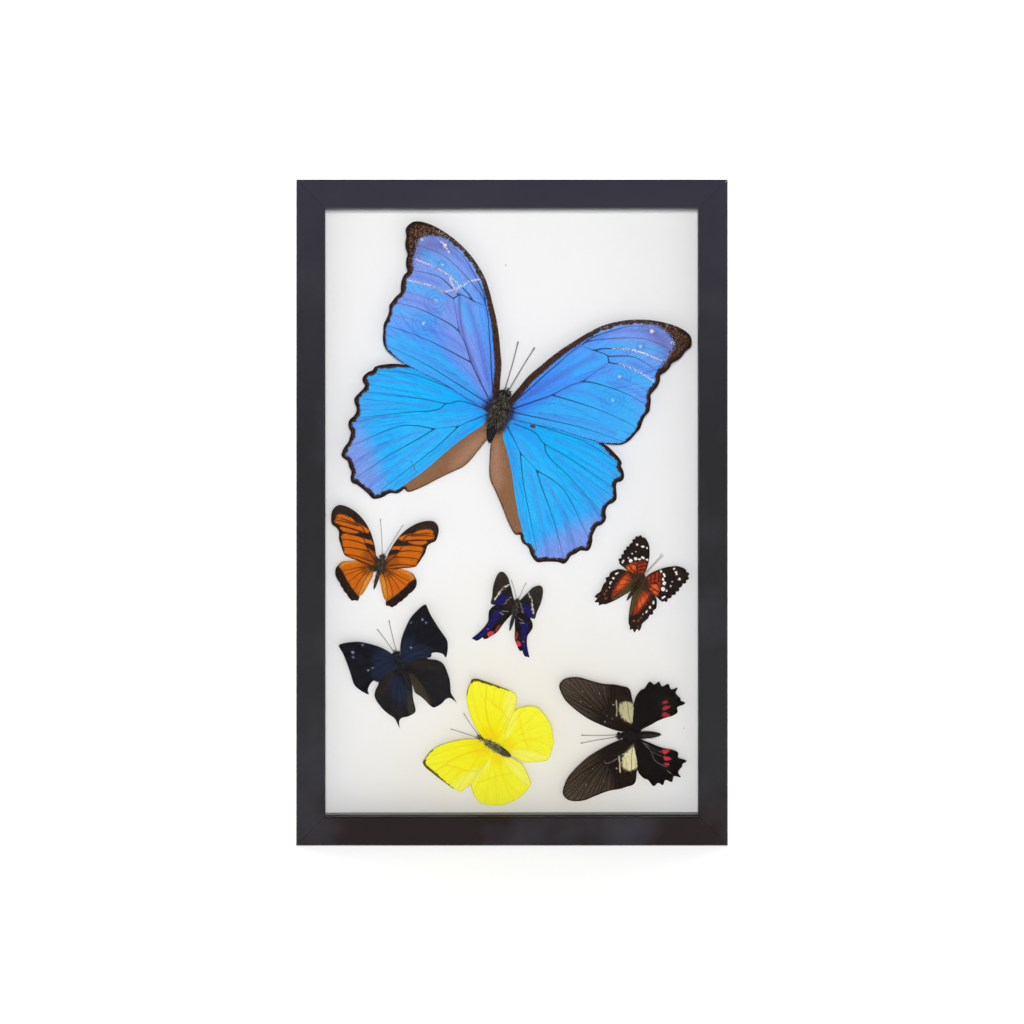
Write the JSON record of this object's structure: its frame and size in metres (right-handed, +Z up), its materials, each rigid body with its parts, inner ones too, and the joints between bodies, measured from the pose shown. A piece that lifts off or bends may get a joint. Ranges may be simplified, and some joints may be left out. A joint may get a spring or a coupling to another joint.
{
  "type": "framed butterfly display",
  "caption": "Black shadow-box frame with a glass front, a white backing card and spread butterflies of several kinds fixed inside it.",
  "frame": {"origin": "middle of the frame's bottom face, at half its depth", "axes": "+Z up the frame, +X to the right seen from the front, -Y out of the glass towards the viewer"},
  "size_m": [0.184, 0.025, 0.284],
  "materials": {
    "frame_paint": "satin black paint on wood",
    "spacer": "dark grey painted strip",
    "glass": "clear picture glass",
    "card": "matte white card, creamy towards the bottom",
    "board": "brown hardboard",
    "steel": "zinc-plated steel",
    "morpho": "scaled wing, iridescent blue with a dark brown border",
    "longwing": "scaled wing, orange with black bars and border",
    "metalmark": "scaled wing, black and navy with white bands and red spots",
    "peacock": "scaled wing, dark brown with red patches and white spots",
    "leafwing": "scaled wing, blue-black",
    "sulphur": "scaled wing, bright yellow",
    "swallowtail": "scaled wing, black-brown with cream and red patches"
  },
  "bodies": {
    "root": {"frame_rail_top": "frame_paint", "frame_rail_bottom": "frame_paint", "frame_rail_left": "frame_paint", "frame_rail_right": "frame_paint", "spacer_top": "spacer", "spacer_bottom": "spacer", "spacer_left": "spacer", "spacer_right": "spacer", "glass_pane": "glass", "backing_card": "card", "back_board": "board", "sawtooth_hanger": "steel", "hanger_rivet_left": "steel", "hanger_rivet_right": "steel", "frame_point_left_1": "steel", "frame_point_left_2": "steel", "frame_point_right_1": "steel", "frame_point_right_2": "steel", "frame_point_top_1": "steel", "frame_point_top_2": "steel", "frame_point_bottom_1": "steel", "frame_point_bottom_2": "steel", "blue_morpho": "morpho", "orange_longwing": "longwing", "metalmark": "metalmark", "red_peacock": "peacock", "leafwing": "leafwing", "yellow_sulphur": "sulphur", "ruby_swallowtail": "swallowtail"}
  },
  "joints": []
}
